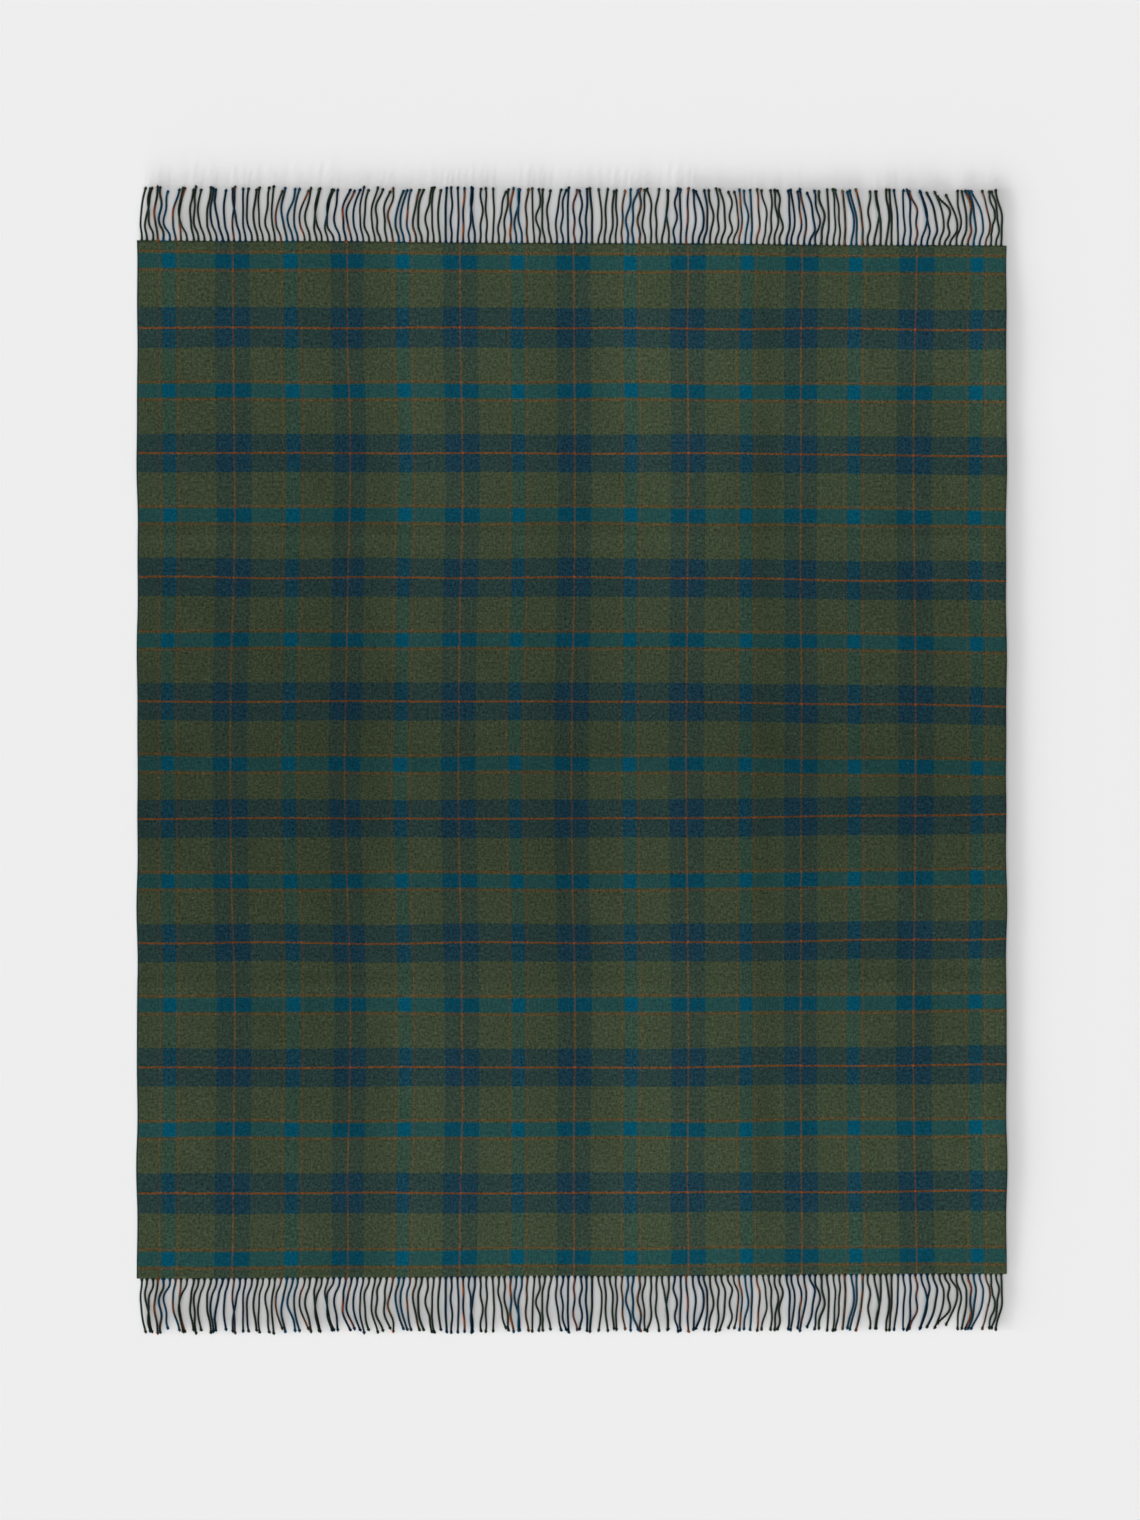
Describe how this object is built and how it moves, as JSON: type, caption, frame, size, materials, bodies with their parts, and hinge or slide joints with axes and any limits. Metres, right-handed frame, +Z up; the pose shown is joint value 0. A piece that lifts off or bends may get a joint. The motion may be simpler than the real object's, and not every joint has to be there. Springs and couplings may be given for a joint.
{
  "type": "throw blanket",
  "caption": "Brushed wool tartan throw lying open, folding across its width, with twisted cord fringe on both short ends.",
  "frame": {"origin": "middle of the underside of the open throw, on the surface that it lies on", "axes": "+X across the width, +Y along the length towards the head end, +Z up through the thickness"},
  "size_m": [1.3, 1.715, 0.004],
  "materials": {
    "tartan_cloth": "brushed wool twill, matt",
    "fringe_teal": "two-ply twisted wool cord, matt",
    "fringe_navy": "two-ply twisted wool cord, matt"
  },
  "bodies": {
    "foot_half": {"cloth_foot_half": "tartan_cloth"},
    "foot_end": {"cloth_foot_end": "tartan_cloth"},
    "foot_fringe": {"fringe_foot_teal_1": "fringe_teal", "fringe_foot_navy_1": "fringe_navy", "fringe_foot_teal_2": "fringe_teal", "fringe_foot_navy_2": "fringe_navy", "fringe_foot_teal_3": "fringe_teal", "fringe_foot_navy_3": "fringe_navy", "fringe_foot_teal_4": "fringe_teal", "fringe_foot_navy_4": "fringe_navy", "fringe_foot_teal_5": "fringe_teal", "fringe_foot_navy_5": "fringe_navy", "fringe_foot_teal_6": "fringe_teal", "fringe_foot_navy_6": "fringe_navy", "fringe_foot_teal_7": "fringe_teal", "fringe_foot_navy_7": "fringe_navy", "fringe_foot_teal_8": "fringe_teal"},
    "head_half": {"cloth_head_half": "tartan_cloth"},
    "head_end": {"cloth_head_end": "tartan_cloth"},
    "head_fringe": {"fringe_head_teal_1": "fringe_teal", "fringe_head_navy_1": "fringe_navy", "fringe_head_teal_2": "fringe_teal", "fringe_head_navy_2": "fringe_navy", "fringe_head_teal_3": "fringe_teal", "fringe_head_navy_3": "fringe_navy", "fringe_head_teal_4": "fringe_teal", "fringe_head_navy_4": "fringe_navy", "fringe_head_teal_5": "fringe_teal", "fringe_head_navy_5": "fringe_navy", "fringe_head_teal_6": "fringe_teal", "fringe_head_navy_6": "fringe_navy", "fringe_head_teal_7": "fringe_teal", "fringe_head_navy_7": "fringe_navy", "fringe_head_teal_8": "fringe_teal"}
  },
  "joints": [
    {"name": "fold_half", "type": "hinge", "parent": "foot_half", "child": "head_half", "pos_m": [0, 0, 0.0168], "axis": [1, 0, 0], "range_deg": [0, 179.95]},
    {"name": "fold_foot", "type": "hinge", "parent": "foot_half", "child": "foot_end", "pos_m": [0, -0.4345, 0.0076], "axis": [-1, 0, 0], "range_deg": [0, 179.95]},
    {"name": "fold_head", "type": "hinge", "parent": "head_half", "child": "head_end", "pos_m": [0, 0.4345, 0.0076], "axis": [1, 0, 0], "range_deg": [0, 179.95]},
    {"name": "turn_foot_fringe", "type": "hinge", "parent": "foot_end", "child": "foot_fringe", "pos_m": [0, -0.7725, 0.005], "axis": [-1, 0, 0], "range_deg": [0, 179.95]},
    {"name": "turn_head_fringe", "type": "hinge", "parent": "head_end", "child": "head_fringe", "pos_m": [0, 0.7725, 0.005], "axis": [1, 0, 0], "range_deg": [0, 179.95]}
  ]
}
